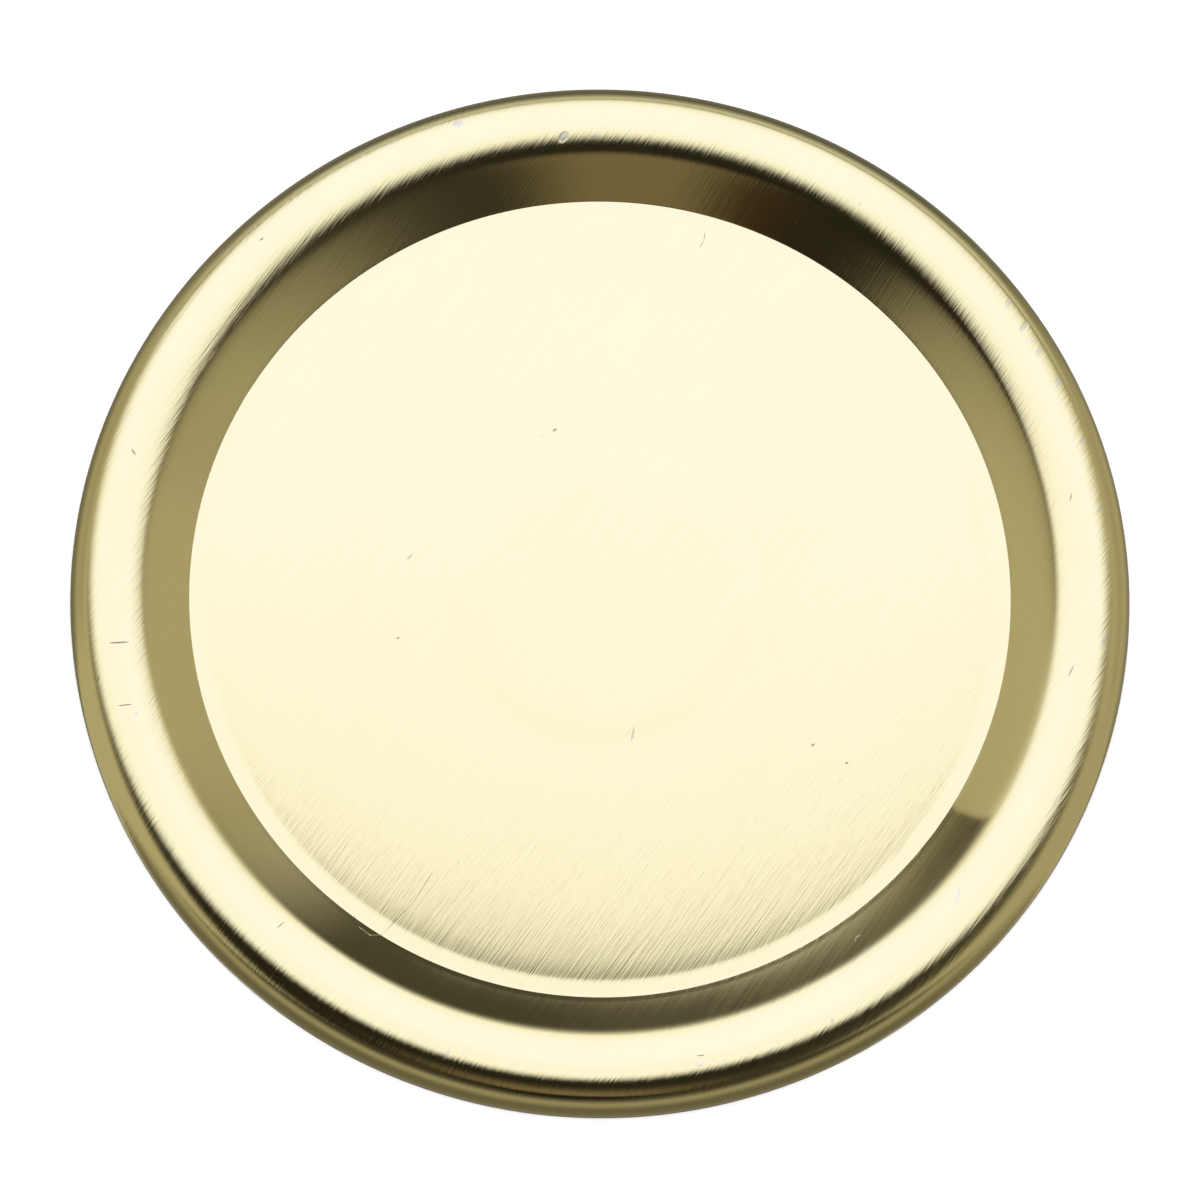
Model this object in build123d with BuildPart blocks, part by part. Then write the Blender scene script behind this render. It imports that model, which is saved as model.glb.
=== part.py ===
"""Canning lid: the flat disc of a two-piece mason jar closure.

Two pieces. A thin tinplate disc is pressed into a shallow domed panel, a conical
step and a rounded rim channel that ends in a plain upright lip. A ring of sealing
compound is cast into the underside of the rim channel and lands on the jar's mouth.

Row frame: millimetres, +Z up, origin on the axis in the plane of the lip's cut edge,
which is what the lid stands on when it lies face up.
"""

import math
import os

from build123d import *

# ---- driving dimensions, millimetres and degrees ---------------------------------
sheet = 0.20  # tinplate gauge

rim_radius = 35.0  # outside of the lip: a 70 mm regular-mouth lid
panel_radius = 27.12  # foot of the step
panel_level = 0.90  # top face of the flat land round the panel's dome

# the panel: a raised button, a shallow dome and its roll-off on to the land.
# each row is a radius and the fall of the top face there
panel_bends = [
    (8.0, 0.0),  # the button's edge starts to fall away
    (9.6, -1.6),
    (11.2, -0.2),  # foot of the button
    (21.0, -1.9),
    (24.6, -3.3),
    (25.9, -4.6),  # steepest part of the roll-off
    (26.3, 0.0),  # flat land
]

step_angle = 23.8  # rise of the conical step
step_foot_bend = 0.22  # bend radius at the step's foot, on the top face

# the rim channel: each row is a radius and the slope of the top face there
rim_bends = [
    (29.75, step_angle),  # the step ends
    (30.35, 13.5),  # brow at the head of the step
    (32.15, 0.0),  # crest
]
crest_out = 32.60  # outer edge of the flat crest land
outer_bends = [
    (33.75, -15.5),
    (rim_radius, -90.0),  # tight shoulder, down to the upright lip
]

seal_level = 1.42  # underside of the sealing ring
seal_in = 30.05  # flat width of its underside
seal_out = 34.00
seal_nose = 29.40  # where its inner edge meets the step's underside
seal_creep = 0.20  # how far the compound climbs the shoulder above its seat


def sin_deg(a):
    return math.sin(math.radians(a))


def cos_deg(a):
    return math.cos(math.radians(a))


def bend_to(start, slope0, r1, slope1):
    """A circular bend from one slope to another, as (start, mid, end, slopes).

    Slopes are in degrees, positive where the surface climbs outwards.
    """
    radius = (r1 - start[0]) / (sin_deg(slope1) - sin_deg(slope0))
    half = (slope0 + slope1) / 2
    mid = (
        start[0] + radius * (sin_deg(half) - sin_deg(slope0)),
        start[1] + radius * (cos_deg(slope0) - cos_deg(half)),
    )
    end = (r1, start[1] + radius * (cos_deg(slope0) - cos_deg(slope1)))
    return {"start": start, "mid": mid, "end": end, "slopes": (slope0, slope1), "bend": abs(radius)}


def straight_to(start, slope, r1, z1=None):
    """A straight run at one slope, out to radius r1, or down to z1 when upright."""
    if z1 is None:
        z1 = start[1] + (r1 - start[0]) * math.tan(math.radians(slope))
    return {"start": start, "mid": None, "end": (r1, z1), "slopes": (slope, slope), "bend": 0}


def run_bends(start, slope, rows):
    found = []
    for r1, slope1 in rows:
        found.append(bend_to(start, slope, r1, slope1))
        start, slope = found[-1]["end"], slope1
    return found


# ---- the top face as a chain of bends and straights, centre to lip ----------------
button_edge = panel_bends[0][0]
dome_rise = -run_bends((button_edge, 0.0), 0.0, panel_bends[1:])[-1]["end"][1]
centre_level = panel_level + dome_rise

top = [straight_to((0.0, centre_level), 0.0, button_edge)]
top += run_bends(top[-1]["end"], 0.0, panel_bends[1:])
land_end = panel_radius - step_foot_bend * math.tan(math.radians(step_angle / 2))
top.append(straight_to(top[-1]["end"], 0.0, land_end))
top += run_bends(
    top[-1]["end"], 0.0, [(land_end + step_foot_bend * sin_deg(step_angle), step_angle)]
)
top.append(straight_to(top[-1]["end"], step_angle, rim_bends[0][0]))
step_leg = len(top) - 1
top += run_bends(top[-1]["end"], step_angle, rim_bends[1:])
crest_level = top[-1]["end"][1]
top.append(straight_to(top[-1]["end"], 0.0, crest_out))
top += run_bends(top[-1]["end"], 0.0, outer_bends)
shoulder_leg = len(top) - 1
lip_top = top[-1]["end"][1]
top.append(straight_to(top[-1]["end"], -90.0, rim_radius, 0.0))


def underside(leg):
    """The same leg on the underside, one sheet thickness in along its normal."""

    def shift(p, slope):
        return (p[0] + sheet * sin_deg(slope), p[1] - sheet * cos_deg(slope))

    s0, s1 = leg["slopes"]
    mid = leg["mid"] and shift(leg["mid"], (s0 + s1) / 2)
    return {**leg, "start": shift(leg["start"], s0), "mid": mid, "end": shift(leg["end"], s1)}


bottom = [underside(leg) for leg in top]


def draw(leg):
    if leg["mid"]:
        ThreePointArc(leg["start"], leg["mid"], leg["end"])
    else:
        Line(leg["start"], leg["end"])


# ---- tinplate disc ----------------------------------------------------------------
with BuildPart() as lid_disc:
    with BuildSketch(Plane.XZ):
        with BuildLine():
            for leg in top + bottom:
                draw(leg)
            Line(top[0]["start"], bottom[0]["start"])
            Line(top[-1]["end"], bottom[-1]["end"])
        make_face()
    revolve(axis=Axis.Z)

# ---- sealing ring -------------------------------------------------------------------
# It fills the channel from the step's underside, over the crest and down the shoulder.
step_under = bottom[step_leg]
(sr0, sz0), (sr1, sz1) = step_under["start"], step_under["end"]
nose = (seal_nose, sz0 + (seal_nose - sr0) * (sz1 - sz0) / (sr1 - sr0))

# outer edge on the shoulder's underside, a little above the seal's face
shoulder = top[shoulder_leg]
shoulder_centre = (rim_radius - shoulder["bend"], lip_top)
inner_bend = shoulder["bend"] - sheet


def on_shoulder(angle):
    return (
        shoulder_centre[0] + inner_bend * sin_deg(angle),
        shoulder_centre[1] + inner_bend * cos_deg(angle),
    )


wall_angle = math.degrees(math.acos((seal_level + seal_creep - lip_top) / inner_bend))
wall = on_shoulder(wall_angle)
first_angle = -shoulder["slopes"][0]

with BuildPart() as sealing_ring:
    with BuildSketch(Plane.XZ):
        with BuildLine():
            Line(nose, step_under["end"])
            for leg in bottom[step_leg + 1 : shoulder_leg]:
                draw(leg)
            ThreePointArc(
                bottom[shoulder_leg]["start"],
                on_shoulder((first_angle + wall_angle) / 2),
                wall,
            )
            # hollow creep up the wall, then the flat seat, then the rounded nose
            ThreePointArc(
                wall,
                (
                    seal_out + 0.62 * (wall[0] - seal_out),
                    seal_level + 0.24 * (wall[1] - seal_level),
                ),
                (seal_out, seal_level),
            )
            Line((seal_out, seal_level), (seal_in, seal_level))
            ThreePointArc(
                (seal_in, seal_level),
                (
                    seal_in - 0.76 * (seal_in - seal_nose),
                    seal_level + 0.36 * (nose[1] - seal_level),
                ),
                nose,
            )
        make_face()
    revolve(axis=Axis.Z)

# ---- write each piece ------------------------------------------------------------------
print(
    "centre %.3f, crest %.3f, lip top %.3f, shoulder bend %.3f"
    % (centre_level, crest_level, lip_top, shoulder["bend"])
)
print("seal nose (%.3f, %.3f), wall (%.3f, %.3f)" % (*nose, *wall))

os.makedirs("parts", exist_ok=True)
for name, piece in (("lid_disc", lid_disc), ("sealing_ring", sealing_ring)):
    piece.part.label = name
    export_step(piece.part, f"parts/{name}.step")
    box = piece.part.bounding_box()
    print(name, "volume %.2f" % piece.part.volume, "size", box.size, "low z %.3f" % box.min.Z)
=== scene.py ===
"""Looks for the canning lid: a lacquered tinplate disc and its sealing ring, under a round
studio softbox on a pale floor."""

import math

import bpy
import numpy as np
from mathutils import Matrix, Vector


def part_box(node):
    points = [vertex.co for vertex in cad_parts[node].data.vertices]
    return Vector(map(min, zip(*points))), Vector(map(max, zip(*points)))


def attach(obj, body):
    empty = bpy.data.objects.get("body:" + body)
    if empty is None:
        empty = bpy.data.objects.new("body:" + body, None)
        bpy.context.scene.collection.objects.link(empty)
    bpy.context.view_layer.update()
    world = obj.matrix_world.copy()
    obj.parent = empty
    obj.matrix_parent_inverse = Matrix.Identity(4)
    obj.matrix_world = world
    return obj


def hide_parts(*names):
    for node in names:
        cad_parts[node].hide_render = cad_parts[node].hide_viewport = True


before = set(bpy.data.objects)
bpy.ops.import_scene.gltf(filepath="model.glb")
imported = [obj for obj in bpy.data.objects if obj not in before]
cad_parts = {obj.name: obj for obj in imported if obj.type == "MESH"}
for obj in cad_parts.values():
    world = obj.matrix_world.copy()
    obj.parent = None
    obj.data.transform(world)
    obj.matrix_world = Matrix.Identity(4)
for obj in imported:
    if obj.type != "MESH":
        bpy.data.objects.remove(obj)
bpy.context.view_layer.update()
disc_low, disc_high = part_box("lid_disc")
ring_low, ring_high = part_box("sealing_ring")

MM = 0.001
SHEET = 0.20  # millimetres, as all lengths below unless they say otherwise
RIM = disc_high.x / MM
CREST = disc_high.z / MM
SEAT = ring_low.z / MM
GRAIN = math.radians(55)  # direction of the sheet's rolling grain, from +X
FAR = math.radians(86)  # direction that lies away from the camera
SEGMENTS = 540


def sin_deg(a):
    return math.sin(math.radians(a))


def cos_deg(a):
    return math.cos(math.radians(a))


# ======================= profile of the pressed sheet =======================
# Each row is a radius and the slope of the top face there; a leg between two rows is a
# circular bend, or a straight where both slopes are the same.
STEP = 23.8
FOOT = 0.22
LAND_END = 27.12 - FOOT * math.tan(math.radians(STEP / 2))
ROWS = [
    (0.0, 0.0),
    (8.0, 0.0),
    (9.6, -1.6),
    (11.2, -0.2),
    (21.0, -1.9),
    (24.6, -3.3),
    (25.9, -4.6),
    (26.3, 0.0),
    (LAND_END, 0.0),
    (LAND_END + FOOT * sin_deg(STEP), STEP + 0.5),
    (28.30, STEP),
    (29.38, STEP - 0.5),
    (29.64, STEP - 1.9),
    (29.88, STEP - 2.6),
    (30.37, 13.5),
    (32.15, 0.0),
    (32.60, 0.0),
    (33.75, -15.5),
    (RIM, -90.0),
]
STEPS = [7, 5, 5, 9, 6, 6, 6, 3, 6, 3, 3, 1, 2, 5, 8, 2, 8, 24]  # faces across each leg


def walk_profile():
    """Points (r, z, slope) of the top face from the centre to the lip's top, z from the centre."""
    points = [(0.0, 0.0, 0.0)]
    for (r0, s0), (r1, s1), n in zip(ROWS, ROWS[1:], STEPS):
        z0 = points[-1][1]
        for i in range(1, n + 1):
            t = i / n
            if s0 == s1:
                r = r0 + (r1 - r0) * t
                points.append((r, z0 + (r - r0) * math.tan(math.radians(s0)), s0))
            else:
                bend = (r1 - r0) / (sin_deg(s1) - sin_deg(s0))
                s = s0 + (s1 - s0) * t
                points.append(
                    (
                        r0 + bend * (sin_deg(s) - sin_deg(s0)),
                        z0 + bend * (cos_deg(s0) - cos_deg(s)),
                        s,
                    )
                )
    return points


walk = walk_profile()
crest_rise = max(p[1] for p in walk)
lift = CREST - crest_rise
top_points = [(r, z + lift, s) for r, z, s in walk]
lip_top = top_points[-1][1]
# a sheared edge: rolled over a little outside, a fine burr inside
LIP_ROUND = 0.05
for i in range(1, 6):
    top_points.append((RIM, lip_top + (LIP_ROUND - lip_top) * i / 5, -90.0))


def under(p):
    r, z, s = p
    return (r + SHEET * sin_deg(s), z - SHEET * cos_deg(s), s)


# outline: top face out to the lip, round the cut edge, and back in along the underside
outline = [(r, z, "top") for r, z, s in top_points]
for a in (30, 60, 90):
    outline.append(
        (
            RIM - LIP_ROUND * (1 - cos_deg(a)),
            LIP_ROUND * (1 - sin_deg(a)),
            "edge",
        )
    )
outline.append((RIM - SHEET * 0.62, 0.006, "edge"))
outline.append((RIM - SHEET + 0.012, 0.004, "edge"))
outline.append((RIM - SHEET, 0.020, "edge"))
back = [under(p) for p in reversed(top_points)]
back = back[:1] + back[2:-2:2] + back[-1:]
outline += [(max(r, 0.0), z, "under") for r, z, s in back[1:]]
pole_under = outline[-1][1]


def pinch(r, angle):
    """One quarter of the lip was squeezed in by about a tenth of a millimetre."""
    turn = (angle - math.radians(138) + math.pi) % (2 * math.pi) - math.pi
    return -0.12 * math.exp(-((turn / math.radians(34)) ** 2)) * max(0.0, min(1.0, (r - 33.1) / 1.6))


def dent(r, angle):
    """Handling wear of a thin sheet: the rim is round to a few hundredths of a millimetre,
    and the panel isn't quite a surface of revolution. Returns (dr, dz)."""
    rim = max(0.0, min(1.0, (r - 30.0) / 5.0))
    dr = rim * (
        0.010 * math.sin(2 * angle + 0.7)
        + 0.006 * math.sin(3 * angle + 2.1)
        + 0.003 * math.sin(7 * angle + 0.4)
    ) + pinch(r, angle)
    inside = max(0.0, min(1.0, r / 26.0))
    dz = (
        0.010
        * inside
        * inside
        * (1 - rim)
        * (math.sin(2 * angle + 1.1) + 0.5 * math.sin(3 * angle + 3.0))
    )
    return dr, dz


def revolve(name, rows, segments, shape=None, closed_poles=True):
    """A closed mesh from an outline of (r, z, tag) rows that starts and ends on the axis,
    or from a ring's outline that never meets it. Returns the object and each face's tag."""
    verts, faces, tags = [], [], []
    columns = []
    for r, z, tag in rows:
        if r < 1e-6:
            columns.append([len(verts)])
            verts.append((0.0, 0.0, z * MM))
            continue
        column = []
        for k in range(segments):
            a = 2 * math.pi * k / segments
            dr, dz = shape(r, z, a, tag) if shape else (0.0, 0.0)
            column.append(len(verts))
            verts.append(
                ((r + dr) * math.cos(a) * MM, (r + dr) * math.sin(a) * MM, (z + dz) * MM)
            )
        columns.append(column)
    pairs = list(zip(range(len(rows) - 1), range(1, len(rows))))
    if not closed_poles:
        pairs.append((len(rows) - 1, 0))
    for i, j in pairs:
        a, b = columns[i], columns[j]
        tag = rows[j][2]
        for k in range(segments):
            k1 = (k + 1) % segments
            if len(a) == 1:
                faces.append((a[0], b[k], b[k1]))
            elif len(b) == 1:
                faces.append((a[k], b[0], a[k1]))
            else:
                faces.append((a[k], b[k], b[k1], a[k1]))
            tags.append(tag)
    mesh = bpy.data.meshes.new(name)
    mesh.from_pydata(verts, [], faces)
    mesh.validate()
    mesh.update()
    obj = bpy.data.objects.new(name, mesh)
    bpy.context.scene.collection.objects.link(obj)
    return obj, tags


def disc_shape(r, z, a, tag):
    dr, dz = dent(r, a)
    low = max(0.0, 1.0 - z / 0.12) if r > RIM - 2 * SHEET else 0.0
    # the sheared edge wanders by about a hundredth of a millimetre
    wander = 0.006 * (
        math.sin(23 * a + 1.0) + math.sin(41 * a + 2.2) + 0.6 * math.sin(97 * a + 0.3)
    )
    return dr, dz + low * max(0.0, wander + 0.006)


disc, disc_tags = revolve("lid_disc_detail", outline, SEGMENTS, disc_shape)

# ======================= sealing ring =======================
top_by_radius = [(r, z, s) for r, z, s in top_points if 28.0 < r <= RIM and s > -89.9]
under_line = [under(p) for p in top_by_radius]
NOSE, WALL = 29.40, 34.467


def under_at(r):
    for (r0, z0, _), (r1, z1, _) in zip(under_line, under_line[1:]):
        if r0 <= r <= r1:
            return z0 + (z1 - z0) * (r - r0) / (r1 - r0)
    return under_line[-1][1]


first = [p for p in under_line if NOSE < p[0] < WALL]
ring_rows = [(NOSE, under_at(NOSE), "bond")]
ring_rows += [(r, z, "bond") for r, z, s in first if r < WALL - 0.02]
wall_z = SEAT + 0.20
ring_rows.append((WALL, wall_z, "bond"))
# hollow creep up the wall, the cast seat, and the rounded nose
for t in (0.2, 0.4, 0.6, 0.8, 1.0):
    ring_rows.append(
        (WALL + (34.00 - WALL) * t, SEAT + (wall_z - SEAT) * (1 - t) ** 1.9, "seat")
    )
for t in np.linspace(0, 1, 17)[1:-1]:
    r = 34.00 + (30.05 - 34.00) * t
    ring_rows.append((r, SEAT, "seat"))
nose_z = under_at(NOSE)
for t in np.linspace(0, 1, 9)[:-1]:
    a = t * math.pi / 2
    ring_rows.append(
        (
            30.05 - (30.05 - NOSE) * math.sin(a) ** 1.0,
            SEAT + (nose_z - SEAT) * (1 - math.cos(a)),
            "seat",
        )
    )


def ring_shape(r, z, a, tag):
    """The compound is poured from a nozzle while the lid spins, so its seat carries faint
    spin lines, its inner edge wanders, and a low swell marks where the pour closed."""
    if tag == "bond":
        return pinch(r, a), 0.0
    share = max(0.0, min(1.0, (r - NOSE) / (WALL - NOSE)))
    body = math.sin(math.pi * min(1.0, share * 1.02)) ** 0.7 if share > 0 else 0.0
    spin = 0.004 * math.sin(r * 11.0 + 1.5 * math.sin(a)) * body
    closing = 0.020 * math.exp(-((((a - 2.2 + math.pi) % (2 * math.pi)) - math.pi) / 0.07) ** 2)
    swell = -closing * body
    hump = 0.012 * body * (1 + 0.4 * math.sin(3 * a) + 0.3 * math.sin(5 * a + 1))
    edge = 0.05 * (math.sin(4 * a + 0.3) + 0.6 * math.sin(9 * a + 1.7)) * max(
        0.0, 1 - abs(r - (NOSE + 0.35)) / 0.5
    )
    return edge + pinch(r, a), max(spin + swell + hump, 0.0)


ring, ring_tags = revolve(
    "sealing_ring_detail", ring_rows, SEGMENTS, ring_shape, closed_poles=False
)


def finish_mesh(obj):
    """Outward faces and smooth shading."""
    import bmesh

    bm = bmesh.new()
    bm.from_mesh(obj.data)
    bmesh.ops.recalc_face_normals(bm, faces=bm.faces)
    bm.to_mesh(obj.data)
    bm.free()
    for p in obj.data.polygons:
        p.use_smooth = True
    obj.data.update()


finish_mesh(disc)
finish_mesh(ring)


# ======================= node helpers =======================
class Nodes:
    """Short calls for building a node tree."""

    def __init__(self, tree):
        self.tree = tree
        self.count = 0

    def add(self, kind, **values):
        n = self.tree.nodes.new(kind)
        n.location = (220 * (self.count % 12), -180 * (self.count // 12))
        self.count += 1
        for k, v in values.items():
            setattr(n, k, v)
        return n

    def set(self, node, **inputs):
        for k, v in inputs.items():
            self.put(node.inputs[k.replace("_", " ")], v)
        return node

    def put(self, socket, v):
        if isinstance(v, bpy.types.NodeSocket):
            self.tree.links.new(v, socket)
        else:
            socket.default_value = v

    def math(self, op, a, b=None, c=None, clamp=False):
        n = self.add("ShaderNodeMath", operation=op, use_clamp=clamp)
        for i, v in enumerate((a, b, c)):
            if v is not None:
                self.put(n.inputs[i], v)
        return n.outputs[0]

    def vmath(self, op, a, b=None):
        n = self.add("ShaderNodeVectorMath", operation=op)
        self.put(n.inputs[0], a)
        if b is not None:
            self.put(n.inputs[1], b)
        return n

    def ramp(self, v, lo, hi, a=0.0, b=1.0, smooth=True):
        n = self.add("ShaderNodeMapRange")
        n.interpolation_type = "SMOOTHSTEP" if smooth else "LINEAR"
        for i, x in zip((0, 1, 2, 3, 4), (v, lo, hi, a, b)):
            self.put(n.inputs[i], x)
        return n.outputs[0]

    def mix(self, t, a, b, blend="MIX"):
        n = self.add("ShaderNodeMix", data_type="RGBA", blend_type=blend)
        self.put(n.inputs[0], t)
        self.put(n.inputs[6], a)
        self.put(n.inputs[7], b)
        return n.outputs[2]

    def mixf(self, t, a, b):
        n = self.add("ShaderNodeMix", data_type="FLOAT")
        self.put(n.inputs[0], t)
        self.put(n.inputs[2], a)
        self.put(n.inputs[3], b)
        return n.outputs[0]

    def curve(self, v, stops, span):
        """A smooth curve through (position, value) stops; positions run over span."""
        n = self.add("ShaderNodeValToRGB")
        n.color_ramp.interpolation = "LINEAR"
        els = n.color_ramp.elements
        while len(els) > 1:
            els.remove(els[-1])
        lo, hi = span
        for i, (p, value) in enumerate(stops):
            t = (p - lo) / (hi - lo)
            e = els[0] if i == 0 else els.new(t)
            e.position = t
            colour = value if isinstance(value, tuple) else (value, value, value)
            e.color = (*colour, 1)
        self.put(n.inputs[0], self.ramp(v, lo, hi, 0.0, 1.0, smooth=False))
        return n.outputs[0]

    def noise(self, vector, scale, detail=2.0, rough=0.5, dims="3D"):
        n = self.add("ShaderNodeTexNoise", noise_dimensions=dims)
        self.put(n.inputs["Vector"], vector)
        n.inputs["Scale"].default_value = scale
        n.inputs["Detail"].default_value = detail
        n.inputs["Roughness"].default_value = rough
        return n.outputs["Fac"]

    def xyz(self, x=0.0, y=0.0, z=0.0):
        n = self.add("ShaderNodeCombineXYZ")
        for i, v in enumerate((x, y, z)):
            self.put(n.inputs[i], v)
        return n.outputs[0]


def material(name):
    m = bpy.data.materials.new(name)
    m.use_nodes = True
    m.node_tree.nodes.clear()
    return m, Nodes(m.node_tree)


def mm_coords(k):
    """Object coordinates in millimetres: vector, x, y, z, radius."""
    tc = k.add("ShaderNodeTexCoord")
    s = k.add("ShaderNodeVectorMath", operation="SCALE")
    k.put(s.inputs[0], tc.outputs["Object"])
    s.inputs["Scale"].default_value = 1000.0
    v = s.outputs[0]
    sep = k.add("ShaderNodeSeparateXYZ")
    k.put(sep.inputs[0], v)
    x, y, z = sep.outputs
    r = k.math("SQRT", k.math("ADD", k.math("MULTIPLY", x, x), k.math("MULTIPLY", y, y)))
    return v, x, y, z, r


def grain_coords(k, x, y):
    """Across the grain and along it, in millimetres."""
    c, s = math.cos(GRAIN), math.sin(GRAIN)
    across = k.math("ADD", k.math("MULTIPLY", x, -s), k.math("MULTIPLY", y, c))
    along = k.math("ADD", k.math("MULTIPLY", x, c), k.math("MULTIPLY", y, s))
    return across, along


def marks_mask(k, p, marks):
    """Mask of small tapered marks in the XY plane, in millimetres. Each row is the mark's two
    ends and its half width; the mark is the ellipse on them, and it fades at its outline."""
    nearest = None
    for x0, y0, x1, y1, w in marks:
        half = math.hypot(x1 - x0, y1 - y0) / 2 + w
        n = k.add("ShaderNodeMapping", vector_type="TEXTURE")
        k.put(n.inputs["Vector"], p)
        n.inputs["Location"].default_value = ((x0 + x1) / 2, (y0 + y1) / 2, 0)
        n.inputs["Rotation"].default_value = (0, 0, math.atan2(y1 - y0, x1 - x0))
        n.inputs["Scale"].default_value = (half, w, 1)
        d = k.vmath("LENGTH", n.outputs[0]).outputs["Value"]
        nearest = d if nearest is None else k.math("MINIMUM", nearest, d)
    return k.ramp(nearest, 1.25, 0.55)


# chips in the lacquer that show bare tin: short flecks that lie along the grain
CHIPS = [
    (-2.50, 31.02, -2.32, 31.28, 0.27),
    (-0.55, 31.10, -0.35, 31.20, 0.08),
    (-9.70, 31.95, -9.20, 32.10, 0.19),
    (17.30, 26.40, 17.45, 26.65, 0.09),
    (27.05, 19.45, 27.30, 19.85, 0.19),
    (28.10, 17.80, 28.35, 18.20, 0.22),
    (28.70, 16.90, 28.90, 17.20, 0.10),
    (29.05, 16.15, 29.35, 16.50, 0.19),
    (30.35, 14.00, 30.50, 14.40, 0.20),
    (31.85, 10.00, 32.00, 10.35, 0.13),
    (32.93, 5.40, 33.02, 5.75, 0.14),
    (33.05, -3.65, 33.20, -3.20, 0.10),
    (-10.05, -31.30, -9.90, -31.05, 0.10),
    (11.60, -31.95, 11.80, -31.75, 0.11),
    (14.90, -29.10, 15.02, -28.90, 0.09),
    (6.20, -31.95, 6.50, -31.85, 0.07),
    (16.60, -23.50, 16.85, -23.10, 0.05),
    (2.05, -10.10, 2.20, -9.20, 0.05),
    (23.35, -20.30, 23.22, -21.00, 0.15),
    (-30.42, -8.45, -30.38, -8.70, 0.11),
]
# scratches and nicks that read dark
CUTS = [
    (-32.20, -3.83, -31.05, -3.75, 0.05),
    (-30.95, 9.35, -30.75, 9.05, 0.08),
    (-33.02, -6.40, -32.90, -6.05, 0.045),
    (-31.60, -8.06, -30.80, -7.96, 0.03),
    (-21.10, -22.90, -20.65, -22.45, 0.045),
    (30.75, -5.90, 31.10, -5.20, 0.05),
    (31.17, 6.50, 31.05, 6.02, 0.05),
    (-3.06, 11.05, -2.94, 11.15, 0.09),
    (7.06, 24.95, 6.98, 24.40, 0.032),
    (6.98, 24.40, 6.70, 23.88, 0.032),
    (-10.86, -18.67, -12.30, -20.90, 0.024),
    (-12.30, -20.90, -14.31, -23.02, 0.026),
    (-14.31, -23.02, -15.05, -23.08, 0.026),
    (-15.05, -23.08, -15.70, -22.60, 0.024),
    (-15.70, -22.60, -16.14, -21.69, 0.024),
    (13.90, -10.35, 13.99, -10.28, 0.08),
    (16.10, -11.55, 16.22, -11.48, 0.07),
    (-13.40, -3.18, -13.28, -3.12, 0.07),
    (-12.75, 2.20, -12.42, 2.55, 0.04),
    (-23.35, 19.55, -23.27, 19.63, 0.04),
    (13.10, 25.45, 13.24, 25.55, 0.09),
    (-22.58, 23.88, -22.45, 23.98, 0.08),
    (6.20, -31.30, 6.65, -31.28, 0.05),
]

DEEP = [CHIPS[0], CHIPS[5], CHIPS[17], CUTS[0], CUTS[3], CUTS[12], CUTS[13]]
BARE = (0.79, 0.69, 0.385, 1)


def grain_height(k, across, along):
    """Rolling marks: long streaks at three widths."""
    a = k.noise(k.xyz(k.math("MULTIPLY", across, 0.8), k.math("MULTIPLY", along, 0.03), 0.0), 1.0, 2.0)
    b = k.noise(k.xyz(k.math("MULTIPLY", across, 5.2), k.math("MULTIPLY", along, 0.14), 7.0), 1.0, 3.0, 0.6)
    c = k.noise(k.xyz(k.math("MULTIPLY", across, 11.0), k.math("MULTIPLY", along, 0.40), 3.0), 1.0, 2.0, 0.6)
    return a, b, c


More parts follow.
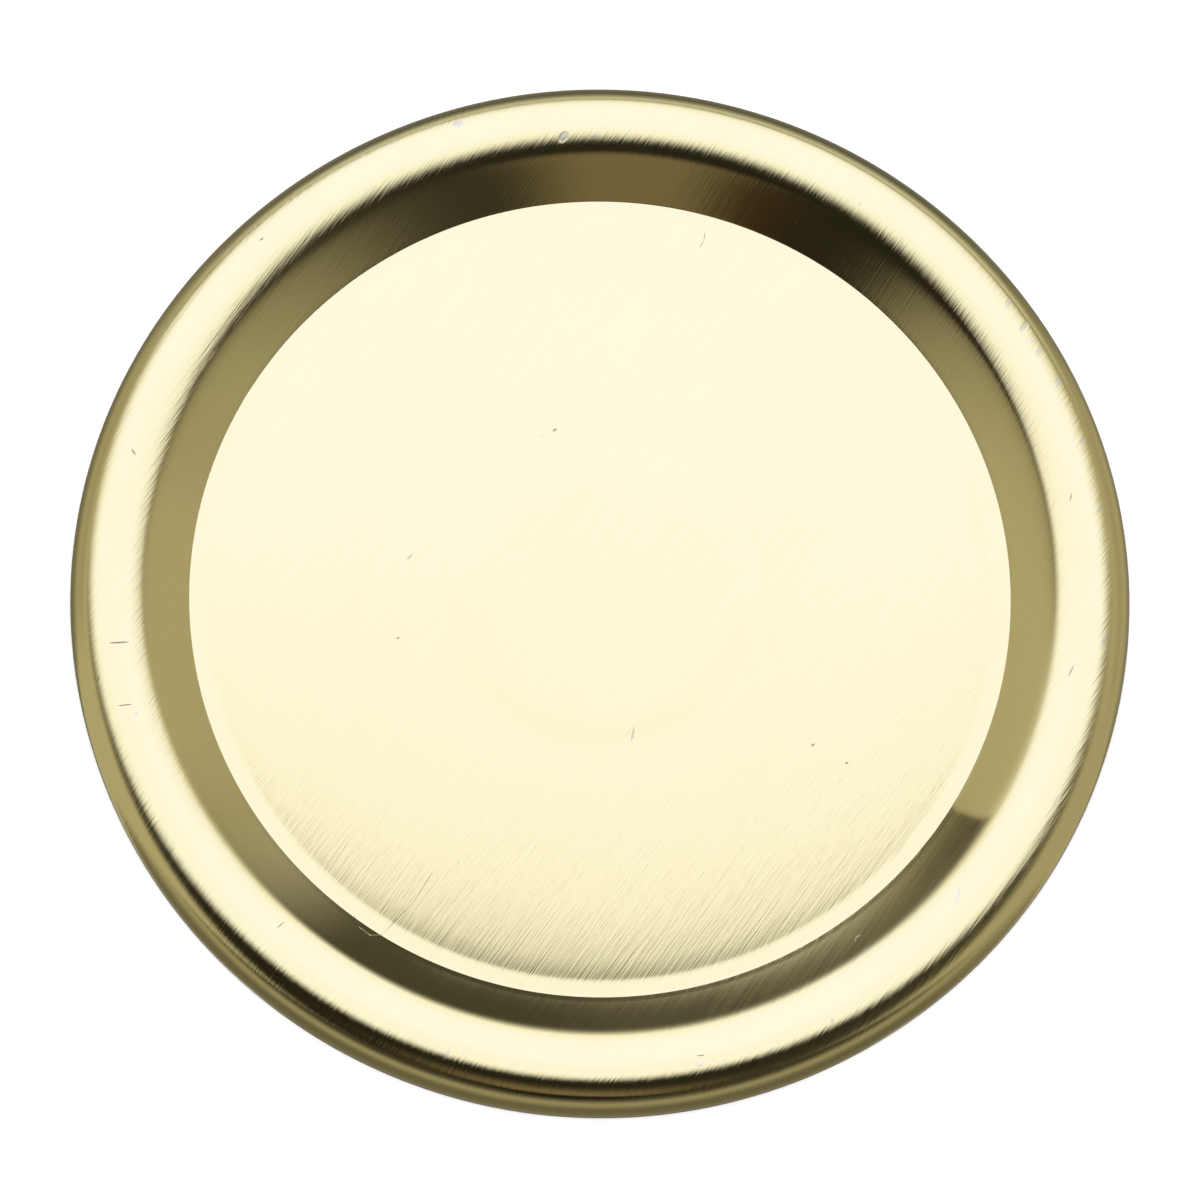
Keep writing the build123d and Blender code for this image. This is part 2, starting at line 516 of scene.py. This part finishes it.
def lacquer_material():
    m, k = material("gold_lacquer")
    v, x, y, z, r = mm_coords(k)
    flat = k.xyz(x, y, 0.0)
    across, along = grain_coords(k, x, y)
    wide, mid, fine = grain_height(k, across, along)

    # colour: the lacquer is a little thicker and thinner in streaks and clouds
    streak = k.ramp(mid, 0.30, 0.70, -1.0, 1.0, smooth=False)
    cloud = k.ramp(k.noise(v, 0.09, 2.0), 0.3, 0.7, -1.0, 1.0)
    depth = k.math("ADD", k.math("MULTIPLY", streak, 0.07), k.math("MULTIPLY", cloud, 0.025))
    pale = (0.945, 0.80, 0.36, 1)
    deep = (0.885, 0.71, 0.255, 1)
    colour = k.mix(k.math("ADD", depth, 0.5, clamp=True), deep, pale)

    # specks: pinholes and dust nibs in the lacquer
    vor = k.add("ShaderNodeTexVoronoi", feature="F1")
    k.put(vor.inputs["Vector"], v)
    vor.inputs["Scale"].default_value = 0.55
    seed = k.add("ShaderNodeSeparateColor")
    k.put(seed.inputs[0], vor.outputs["Color"])
    size = k.math("MULTIPLY", seed.outputs[0], 0.055)
    speck = k.math(
        "MULTIPLY",
        k.ramp(vor.outputs["Distance"], size, k.math("MULTIPLY", size, 0.3)),
        k.math("GREATER_THAN", seed.outputs[1], 0.80),
    )

    warp = k.add("ShaderNodeTexNoise")
    k.put(warp.inputs["Vector"], flat)
    warp.inputs["Scale"].default_value = 2.6
    warp.inputs["Detail"].default_value = 3.0
    offset = k.vmath("MULTIPLY", k.vmath("SUBTRACT", warp.outputs["Color"], (0.5, 0.5, 0.5)).outputs[0], (0.55, 0.55, 0.0))
    chips = marks_mask(k, k.vmath("ADD", flat, offset.outputs[0]).outputs[0], CHIPS)
    # a chip's outline is ragged, combed by the grain
    ragged = k.ramp(fine, 0.36, 0.50)
    chips = k.math("MULTIPLY", chips, k.math("MULTIPLY_ADD", ragged, 0.45, 0.55))
    upper = k.ramp(z, 0.70, 0.85)
    cuts = k.math("MAXIMUM", marks_mask(k, flat, CUTS), k.math("MULTIPLY", speck, 0.5))

    colour = k.mix(k.math("MULTIPLY", cuts, 0.62), colour, (0.19, 0.14, 0.055, 1))
    colour = k.mix(chips, colour, BARE)

    # the lip's lower part is rubbed dull (rougher), and its colour is painted greyer and darker towards the
    # bottom as painted shade where the lip nears the floor; bare tin shows at the cut
    rub_and_floor_shade = k.math(
        "MULTIPLY",
        k.ramp(k.math("ADD", z, k.ramp(fine, 0.35, 0.65, -0.10, 0.10)), 0.50, 0.12),
        k.ramp(r, 34.6, 34.9),
    )
    # painted shade: the lower lip's colour is pulled towards grey-brown near the floor
    colour = k.mix(k.math("MULTIPLY", rub_and_floor_shade, 0.75), colour, (0.50, 0.45, 0.36, 1))

    rough = k.math(
        "ADD",
        k.math("MULTIPLY_ADD", streak, 0.010, 0.068),
        k.math("MULTIPLY", k.math("ADD", rub_and_floor_shade, chips), 0.12),
    )
    rough = k.math("ADD", rough, k.math("MULTIPLY", cuts, 0.15))
    # the lip is scuffed over the half that holds the squeezed quarter
    side = k.math("ADD", k.math("MULTIPLY", x, cos_deg(98)), k.math("MULTIPLY", y, sin_deg(98)))
    scuff = k.math("MULTIPLY", k.ramp(side, 8.0, 22.0), k.ramp(r, 33.1, 33.9))
    rough = k.math("ADD", rough, k.math("MULTIPLY", scuff, 0.15))

    height = k.math(
        "ADD",
        k.math("MULTIPLY_ADD", wide, 0.25, -0.62),
        k.math("ADD", k.math("MULTIPLY", mid, 0.58), k.math("MULTIPLY", fine, 0.40)),
    )
    # the draw smooths the grain on the step, more on one side than on the other
    ironed = k.math("MULTIPLY", k.ramp(r, 26.9, 27.5), k.ramp(r, 30.5, 29.7))
    kept = k.math("MULTIPLY", ironed, k.ramp(y, 4.0, -10.0, -0.64, -0.93))
    height = k.math("MULTIPLY", height, k.math("ADD", kept, 1.0))
    # only the deepest marks are cut into the surface
    height = k.math("SUBTRACT", height, k.math("MULTIPLY", marks_mask(k, flat, DEEP), 0.6))
    bump = k.add("ShaderNodeBump")
    bump.inputs["Strength"].default_value = 1.0
    bump.inputs["Distance"].default_value = 0.0000150
    k.put(bump.inputs["Height"], height)

    p = k.add("ShaderNodeBsdfPrincipled")
    k.put(p.inputs["Base Color"], colour)
    p.inputs["Metallic"].default_value = 1.0
    k.put(p.inputs["Roughness"], rough)
    k.put(p.inputs["Anisotropic"], k.math("MULTIPLY_ADD", scuff, -0.80, 0.85))
    k.put(p.inputs["Tangent"], k.xyz(-math.sin(GRAIN), math.cos(GRAIN), 0.0))
    p.inputs["Specular Tint"].default_value = (1.0, 0.97, 0.90, 1)
    k.put(p.inputs["Normal"], bump.outputs[0])
    out = k.add("ShaderNodeOutputMaterial")
    k.put(out.inputs["Surface"], p.outputs[0])
    return m


def enamel_material():
    """Inside of the lid: a paler protective lacquer over the same grain, with a satin skin."""
    m, k = material("inner_enamel")
    v, x, y, z, r = mm_coords(k)
    across, along = grain_coords(k, x, y)
    wide, mid, fine = grain_height(k, across, along)
    streak = k.ramp(mid, 0.30, 0.70, 0.0, 1.0, smooth=False)
    cloud = k.ramp(k.noise(v, 0.12, 3.0), 0.3, 0.7, 0.0, 1.0)
    t = k.math("ADD", k.math("MULTIPLY", streak, 0.40), k.math("MULTIPLY", cloud, 0.30))
    colour = k.mix(t, (0.80, 0.66, 0.33, 1), (0.90, 0.77, 0.43, 1))
    height = k.math(
        "ADD",
        k.math("MULTIPLY", mid, 0.5),
        k.math("MULTIPLY", k.noise(v, 1.6, 3.0, 0.6), 0.8),
    )
    bump = k.add("ShaderNodeBump")
    bump.inputs["Strength"].default_value = 1.0
    bump.inputs["Distance"].default_value = 0.000006
    k.put(bump.inputs["Height"], height)
    p = k.add("ShaderNodeBsdfPrincipled")
    k.put(p.inputs["Base Color"], colour)
    p.inputs["Metallic"].default_value = 0.85
    k.put(p.inputs["Roughness"], k.math("MULTIPLY_ADD", cloud, 0.06, 0.30))
    p.inputs["Anisotropic"].default_value = 0.5
    k.put(p.inputs["Tangent"], k.xyz(-math.sin(GRAIN), math.cos(GRAIN), 0.0))
    p.inputs["Coat Weight"].default_value = 0.35
    p.inputs["Coat Roughness"].default_value = 0.22
    k.put(p.inputs["Normal"], bump.outputs[0])
    out = k.add("ShaderNodeOutputMaterial")
    k.put(out.inputs["Surface"], p.outputs[0])
    return m


def edge_material():
    """The sheared edge of the sheet: dull grey steel with vertical tear marks."""
    m, k = material("cut_edge")
    v, x, y, z, r = mm_coords(k)
    n = k.noise(v, 5.0, 4.0, 0.65)
    t = k.ramp(n, 0.35, 0.65)
    colour = k.mix(t, (0.30, 0.26, 0.20, 1), (0.52, 0.48, 0.40, 1))
    bump = k.add("ShaderNodeBump")
    bump.inputs["Strength"].default_value = 0.8
    bump.inputs["Distance"].default_value = 0.00001
    k.put(bump.inputs["Height"], n)
    p = k.add("ShaderNodeBsdfPrincipled")
    k.put(p.inputs["Base Color"], colour)
    p.inputs["Metallic"].default_value = 0.9
    k.put(p.inputs["Roughness"], k.ramp(n, 0.3, 0.7, 0.42, 0.6))
    k.put(p.inputs["Normal"], bump.outputs[0])
    out = k.add("ShaderNodeOutputMaterial")
    k.put(out.inputs["Surface"], p.outputs[0])
    return m


def compound_material():
    """Cured plastisol: satin, brick red, with spin lines from the pour and fine pinholes."""
    m, k = material("sealing_compound")
    v, x, y, z, r = mm_coords(k)
    cloud = k.ramp(k.noise(v, 0.35, 3.0), 0.3, 0.7)
    ring_noise = k.noise(k.xyz(k.math("MULTIPLY", r, 3.2), k.math("MULTIPLY", k.noise(v, 0.2, 1.0), 1.5), 0.0), 1.0, 3.0, 0.6)
    t = k.math("ADD", k.math("MULTIPLY", cloud, 0.6), k.math("MULTIPLY", ring_noise, 0.4))
    colour = k.mix(t, (0.150, 0.030, 0.014, 1), (0.205, 0.048, 0.024, 1))
    vor = k.add("ShaderNodeTexVoronoi", feature="F1")
    k.put(vor.inputs["Vector"], v)
    vor.inputs["Scale"].default_value = 1.5
    seed = k.add("ShaderNodeSeparateColor")
    k.put(seed.inputs[0], vor.outputs["Color"])
    pin = k.math(
        "MULTIPLY",
        k.ramp(vor.outputs["Distance"], 0.07, 0.03),
        k.math("GREATER_THAN", seed.outputs[1], 0.82),
    )
    colour = k.mix(k.math("MULTIPLY", pin, 0.6), colour, (0.06, 0.014, 0.008, 1))
    height = k.math(
        "ADD",
        k.math("MULTIPLY", ring_noise, 0.6),
        k.math("SUBTRACT", k.math("MULTIPLY", k.noise(v, 3.0, 3.0, 0.6), 0.5), pin),
    )
    bump = k.add("ShaderNodeBump")
    bump.inputs["Strength"].default_value = 0.9
    bump.inputs["Distance"].default_value = 0.00002
    k.put(bump.inputs["Height"], height)
    p = k.add("ShaderNodeBsdfPrincipled")
    k.put(p.inputs["Base Color"], colour)
    k.put(p.inputs["Roughness"], k.ramp(ring_noise, 0.3, 0.7, 0.36, 0.50))
    p.inputs["Specular IOR Level"].default_value = 0.5
    p.inputs["Subsurface Weight"].default_value = 0.08
    p.inputs["Subsurface Radius"].default_value = (0.0008, 0.0003, 0.0002)
    p.inputs["Subsurface Scale"].default_value = 1.0
    k.put(p.inputs["Normal"], bump.outputs[0])
    out = k.add("ShaderNodeOutputMaterial")
    k.put(out.inputs["Surface"], p.outputs[0])
    return m


lacquer, enamel, cut_edge, compound = (
    lacquer_material(),
    enamel_material(),
    edge_material(),
    compound_material(),
)
for m in (lacquer, enamel, cut_edge):
    disc.data.materials.append(m)
slot_of = {"top": 0, "under": 1, "edge": 2}
for p, tag in zip(disc.data.polygons, disc_tags):
    p.material_index = slot_of[tag]
ring.data.materials.append(compound)

disc.data.update()

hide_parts("lid_disc")
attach(disc, "root")
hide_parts("sealing_ring")
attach(ring, "root")
for name in ("lid_disc", "sealing_ring"):
    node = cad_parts[name]
    node.data.materials.clear()
    node.data.materials.append(lacquer if name == "lid_disc" else compound)

# ======================= floor =======================
import bmesh  # noqa: E402

bm = bmesh.new()
bmesh.ops.create_circle(bm, cap_ends=True, segments=96, radius=3.0)
floor_mesh = bpy.data.meshes.new("floor")
bm.to_mesh(floor_mesh)
bm.free()
floor = bpy.data.objects.new("floor", floor_mesh)
floor.location = (0, 0, -0.00002)
bpy.context.scene.collection.objects.link(floor)
floor.visible_glossy = False
m, k = material("pale_floor")
p = k.add("ShaderNodeBsdfPrincipled")
tc = k.add("ShaderNodeTexCoord")
paper = k.noise(tc.outputs["Object"], 900.0, 3.0)
k.put(p.inputs["Base Color"], k.mix(paper, (0.955, 0.955, 0.95, 1), (0.97, 0.97, 0.965, 1)))
p.inputs["Roughness"].default_value = 0.9
p.inputs["Specular IOR Level"].default_value = 0.1
out = k.add("ShaderNodeOutputMaterial")
k.put(out.inputs["Surface"], p.outputs[0])
floor.data.materials.append(m)


# ======================= studio =======================
def g(v):
    """Light that comes off the far wall: a little cool."""
    return (0.93 * v, v, 1.22 * v)


def studio_world():
    """A round softbox overhead and behind, black round the camera, mid-grey walls."""
    w = bpy.data.worlds.new("studio")
    w.use_nodes = True
    w.node_tree.nodes.clear()
    w.cycles.sampling_method = "NONE"
    k = Nodes(w.node_tree)
    tc = k.add("ShaderNodeTexCoord")
    sep = k.add("ShaderNodeSeparateXYZ")
    k.put(sep.inputs[0], tc.outputs["Generated"])
    dx, dy, dz = sep.outputs
    # turn so that b runs away from the camera and a to its right
    c, s = math.cos(FAR), math.sin(FAR)
    h = k.math("SQRT", k.math("ADD", k.math("MULTIPLY", dx, dx), k.math("MULTIPLY", dy, dy)))
    h = k.math("MAXIMUM", h, 1e-4)
    right = k.math("SUBTRACT", k.math("MULTIPLY", dx, s), k.math("MULTIPLY", dy, c))
    away = k.math("ADD", k.math("MULTIPLY", dx, c), k.math("MULTIPLY", dy, s))
    polar = k.math("MULTIPLY", k.math("ARCCOSINE", k.math("MAXIMUM", k.math("MINIMUM", dz, 1.0), -1.0)), 57.29578)
    ux, uy = k.math("DIVIDE", right, h), k.math("DIVIDE", away, h)
    a, b = k.math("MULTIPLY", polar, ux), k.math("MULTIPLY", polar, uy)

    side_r = k.curve(
        polar,
        [(0, 0.13), (20, 0.19), (29, 0.25), (34, 0.34), (38.5, 0.39), (41, 0.42), (48, 0.43), (59, 0.40), (70, 0.355), (82, 0.36), (94, 0.40), (106, 0.39), (118, 0.32), (132, 0.25), (180, 0.20)],
        (0, 180),
    )
    side_l = k.curve(
        polar,
        [(0, 0.13), (20, 0.18), (30, 0.20), (36, 0.25), (39.5, 0.35), (42.5, 0.44), (45, 0.465), (50, 0.45), (57, 0.40), (68, 0.345), (80, 0.37), (92, 0.38), (101, 0.33), (112, 0.24), (126, 0.18), (180, 0.18)],
        (0, 180),
    )
    far = k.curve(
        polar,
        [(0, g(0.30)), (50, g(0.72)), (57, g(0.82)), (61, g(0.82)), (66, g(0.72)), (70, g(0.60)), (74.5, g(0.46)), (82, g(0.28)), (90, g(0.165)), (99, g(0.10)), (108, g(0.12)), (118, g(0.16)), (130, g(0.20)), (180, g(0.22))],
        (0, 180),
    )
    near = k.curve(
        polar,
        [(0, 0.05), (30, 0.045), (45, 0.045), (52, 0.06), (60, 0.125), (65, 0.20), (70, 0.28), (76, 0.31), (80, 0.305), (85, 0.28), (90, 0.24), (95, 0.20), (105, 0.15), (115, 0.138), (140, 0.16), (180, 0.22)],
        (0, 180),
    )
    sides = k.mix(k.ramp(ux, -0.3, 0.3), side_l, side_r)
    # low on the far wall its light reaches further round to the sides
    reach = k.ramp(polar, 58.5, 63.0)
    w_far = k.ramp(uy, k.mixf(reach, 0.76, 0.55), k.mixf(reach, 0.96, 0.92))
    w_near = k.ramp(uy, -0.10, -0.72)
    tone = k.mix(w_far, sides, far)
    tone = k.mix(w_near, tone, near)

    # black round the camera, with a paler patch in it, a brown edge to the patch and the lens
    # below that
    dark = k.math("MULTIPLY", k.ramp(b, -38.0, -27.0), k.ramp(b, 13.0, 3.0))
    dark_tone = k.curve(
        a,
        [(-50, 0.46), (-43, 0.455), (-40, 0.41), (-36.5, 0.335), (-32, 0.240), (-29, 0.140), (-26.1, 0.038), (-23, 0.022), (-19.6, 0.019), (-12, 0.018), (10, 0.024), (14, 0.036), (18.2, 0.043), (21.5, 0.057), (24.9, 0.092), (28, 0.146), (30.8, 0.207), (33, 0.25), (35.7, 0.296), (39.5, 0.37), (43, 0.385), (50, 0.40)],
        (-50, 50),
    )
    tone = k.mix(dark, tone, dark_tone)
    halo = k.math(
        "MULTIPLY",
        k.math("MULTIPLY", k.ramp(a, -19.0, -13.5), k.ramp(a, -7.0, -11.0)),
        k.math("MULTIPLY", k.ramp(b, -19.0, -25.5), k.ramp(b, -38.0, -34.0)),
    )
    tone = k.mix(halo, tone, (0.040, 0.026, 0.018, 1))
    patch = k.math(
        "MULTIPLY",
        k.math("MULTIPLY", k.ramp(a, -13.5, -4.0), k.ramp(a, 15.0, 3.0)),
        k.math("MULTIPLY", k.ramp(b, -10.0, -24.0), k.ramp(b, -38.0, -34.0)),
    )
    tone = k.mix(patch, tone, (0.180, 0.160, 0.135, 1))
    lens = k.math("SQRT", k.math("ADD", k.math("POWER", a, 2.0), k.math("POWER", k.math("MULTIPLY", k.math("ADD", b, 43.0), 1.1), 2.0)))
    tone = k.mix(k.ramp(lens, 12.0, 6.0), tone, (0.018, 0.017, 0.016, 1))

    # the softbox, seen in the plane above: a rounded square with soft sides that dims
    # and warms towards them
    up = k.math("MAXIMUM", dz, 0.02)
    px, py = k.math("DIVIDE", right, up), k.math("DIVIDE", away, up)
    left_x = k.math("DIVIDE", px, k.ramp(py, 0.0, 0.50, 0.85, 1.25))
    right_x = k.math("DIVIDE", px, k.ramp(py, 0.0, 0.75, 0.84, 1.20))
    bow = k.math("MULTIPLY", k.math("MULTIPLY", px, px), k.ramp(px, -0.1, 0.1, -0.03, -0.42))
    edge_y = k.math("ADD", py, bow)
    soft = k.math("MULTIPLY", k.ramp(left_x, -0.74, -0.37), k.ramp(right_x, 0.65, 0.31))
    soft = k.math("MULTIPLY", soft, k.ramp(edge_y, -0.035, 0.137))
    soft = k.math("MULTIPLY", soft, k.ramp(py, 2.1, 1.05))
    soft = k.math("MULTIPLY", soft, k.math("GREATER_THAN", dz, 0.02))
    rim_x = k.math("MAXIMUM", k.math("MULTIPLY", left_x, -0.85), right_x)
    wane = k.math("MAXIMUM", k.ramp(rim_x, 0.12, 0.52), k.ramp(py, 0.55, 1.45))
    wane = k.math("MAXIMUM", wane, k.ramp(edge_y, 0.32, 0.06, 0.0, 0.9))
    lamp = k.mix(wane, (1.105, 1.265, 2.36, 1), (1.055, 1.15, 1.66, 1))
    tone = k.mix(soft, tone, lamp)

    # dark gap between the softbox and the wall behind it, ended at the left by a hard edge
    middle = k.math("MULTIPLY_ADD", k.math("MULTIPLY", a, a), -0.0048, 58.8)
    off = k.math("SUBTRACT", polar, middle)
    band = k.math("MULTIPLY", k.ramp(off, -7.5, -2.0), k.mixf(k.ramp(a, 8.0, 18.0), k.ramp(off, 2.9, 0.8), k.ramp(off, 3.5, 2.0)))
    gap = k.math(
        "MULTIPLY",
        k.math("MULTIPLY", band, k.ramp(a, 38.0, 21.0)),
        k.math(
            "MULTIPLY",
            k.ramp(k.math("MULTIPLY_ADD", a, 0.9733, b), -0.3, 0.3),
            k.ramp(b, 26.0, 32.0),
        ),
    )
    gap_tone = k.curve(
        a,
        [(-46, 0.06), (-36, 0.066), (-34, 0.078), (-31.8, 0.100), (-29, 0.108), (-26.4, 0.103), (-23.4, 0.090), (-17, 0.078), (-13.4, 0.068), (-10, 0.062), (-6.5, 0.068), (-2.9, 0.068), (0.8, 0.058), (4.3, 0.054), (11, 0.060), (18, 0.064), (40, 0.08)],
        (-46, 40),
    )
    tone = k.mix(gap, tone, gap_tone)

    studio = k.add("ShaderNodeBackground")
    k.put(studio.inputs["Color"], tone)
    fill = k.add("ShaderNodeBackground")
    fill.inputs["Color"].default_value = (1.0, 1.0, 1.0, 1)
    fill.inputs["Strength"].default_value = 1.65
    path = k.add("ShaderNodeLightPath")
    shiny = path.outputs["Is Glossy Ray"]
    both = k.add("ShaderNodeMixShader")
    k.put(both.inputs[0], shiny)
    k.put(both.inputs[1], fill.outputs[0])
    k.put(both.inputs[2], studio.outputs[0])
    out = k.add("ShaderNodeOutputWorld")
    k.put(out.inputs["Surface"], both.outputs[0])
    return w


scene = bpy.context.scene
scene.world = studio_world()
scene.view_settings.view_transform = "Standard"
scene.view_settings.look = "None"

# ======================= camera =======================
TILT = math.radians(14.4)
DISTANCE = 0.5
away = Vector((math.cos(FAR), math.sin(FAR), 0))
back = (-away * math.sin(TILT) + Vector((0, 0, 1)) * math.cos(TILT)).normalized()
right = Vector((math.sin(FAR), -math.cos(FAR), 0))
upward = back.cross(right)
roll = math.radians(90) - FAR
cam_right = right * math.cos(roll) + upward * math.sin(roll)
cam_up = upward * math.cos(roll) - right * math.sin(roll)
aim = Vector((0, 0, 0)) - cam_up * (0.188 * MM)
camera_data = bpy.data.cameras.new("camera")
camera_data.sensor_width = 36.0
camera_data.lens = 36.0 * 7556.9 / 1200.0
camera_data.clip_start, camera_data.clip_end = 0.01, 20.0
camera = bpy.data.objects.new("camera", camera_data)
scene.collection.objects.link(camera)
place = Matrix((cam_right, cam_up, back)).transposed().to_4x4()
place.translation = aim + back * DISTANCE
camera.matrix_world = place
scene.camera = camera

bpy.context.view_layer.update()
